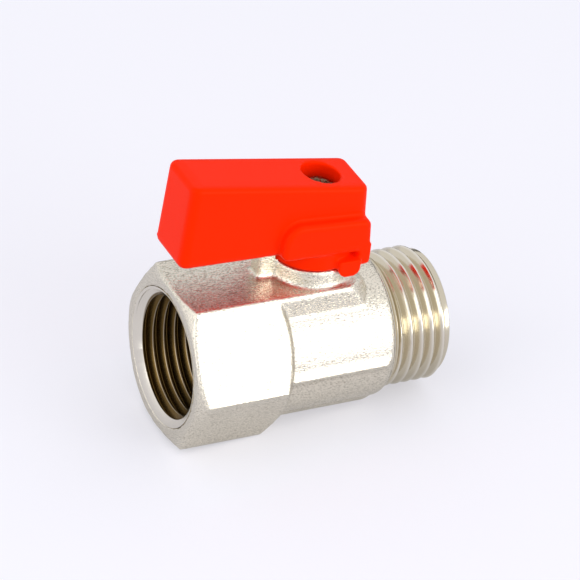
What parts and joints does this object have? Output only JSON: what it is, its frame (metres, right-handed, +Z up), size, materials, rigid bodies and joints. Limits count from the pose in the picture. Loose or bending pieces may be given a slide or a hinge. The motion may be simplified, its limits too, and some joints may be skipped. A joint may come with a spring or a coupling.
{
  "type": "isolating valve",
  "caption": "Small quarter-turn ball valve with a hexagonal female port, a threaded male end and a short moulded lever on top.",
  "frame": {"origin": "centre of the female port's face, on the flow axis", "axes": "+X along the flow axis from the female port to the male end, +Z up the stem to the lever, and +Y to the side that the lever points to when the valve is shut"},
  "size_m": [0.0451, 0.0288, 0.0449],
  "materials": {
    "nickel_plate": "satin nickel plate on forged brass",
    "machined_brass": "bare turned brass",
    "ball_chrome": "polished chrome plate on turned brass",
    "seat_ptfe": "white fluoropolymer",
    "ring_rubber": "black rubber",
    "lever_plastic": "matte moulded orange-red",
    "screw_zinc": "zinc plated"
  },
  "bodies": {
    "valve": {"body": "nickel_plate", "retainer": "machined_brass", "inlet_seat": "seat_ptfe", "outlet_seat": "seat_ptfe", "thrust_washer": "seat_ptfe"},
    "lever": {"handle": "lever_plastic", "handle_screw": "screw_zinc", "stem": "machined_brass", "lower_stem_ring": "ring_rubber", "upper_stem_ring": "ring_rubber"},
    "ball": {"ball": "ball_chrome"}
  },
  "joints": [
    {"name": "lever_turn", "type": "hinge", "parent": "valve", "child": "lever", "pos_m": [0.0229, 0, 0], "axis": [0, 0, 1], "range_deg": [-90, 0]},
    {"name": "ball_turn", "type": "hinge", "parent": "valve", "child": "ball", "pos_m": [0.0229, 0, 0], "axis": [0, 0, 1], "range_deg": [-90, 0]}
  ],
  "couplings": [
    {"joint": "ball_turn", "follows": "lever_turn", "ratio": 1}
  ]
}
